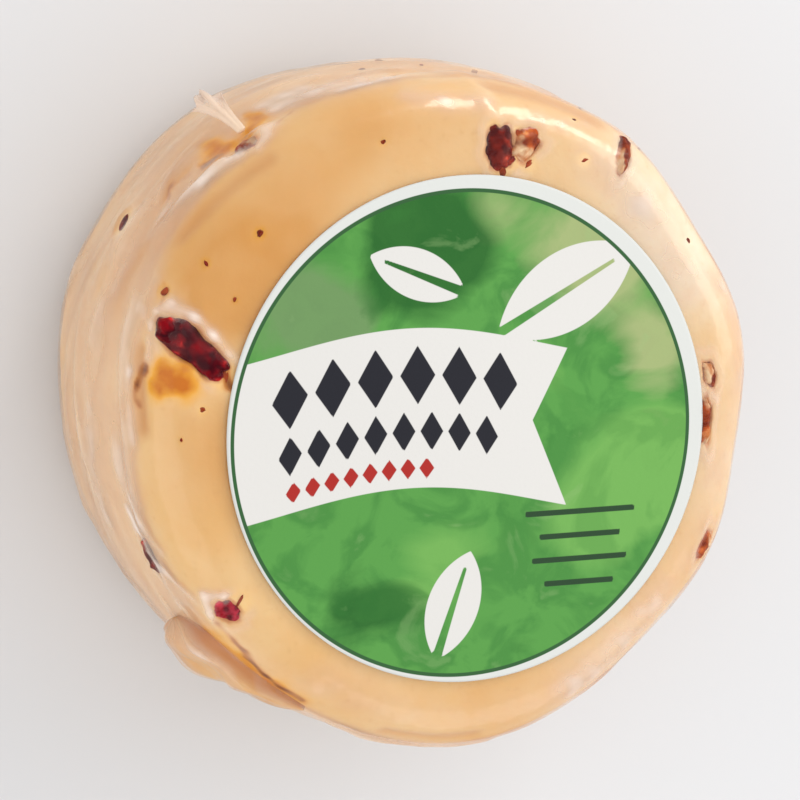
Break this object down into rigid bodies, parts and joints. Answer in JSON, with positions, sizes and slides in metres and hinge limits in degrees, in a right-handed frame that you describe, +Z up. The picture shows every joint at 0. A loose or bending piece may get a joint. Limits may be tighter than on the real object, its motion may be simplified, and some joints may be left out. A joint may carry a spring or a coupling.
{
  "type": "film-wrapped wheel of kashkaval cheese with walnuts",
  "caption": "Low round cheese with soft shoulders, walnut pieces showing under tight clear film, and a round paper label on its upper face.",
  "frame": {"origin": "centre of the footprint of the whole, on the surface it lies on", "axes": "+Z up out of the labelled face, +X to the right of the label and +Y to its top"},
  "size_m": [0.1074, 0.1098, 0.0576],
  "materials": {
    "cheese": "cheese under tight glossy film",
    "film": "bunched clear film, glossy",
    "label": "satin paper",
    "walnut": "dark oily walnut"
  },
  "bodies": {
    "root": {"cheese_wheel": "cheese", "label": "label", "film_ear": "film", "film_tail": "film", "walnut_01": "walnut", "walnut_02": "walnut", "walnut_03": "walnut", "walnut_04": "walnut", "walnut_05": "walnut", "walnut_06": "walnut", "walnut_07": "walnut", "walnut_08": "walnut", "walnut_09": "walnut", "walnut_10": "walnut", "walnut_11": "walnut", "walnut_12": "walnut", "walnut_13": "walnut", "walnut_14": "walnut", "walnut_15": "walnut", "walnut_16": "walnut"}
  },
  "joints": []
}
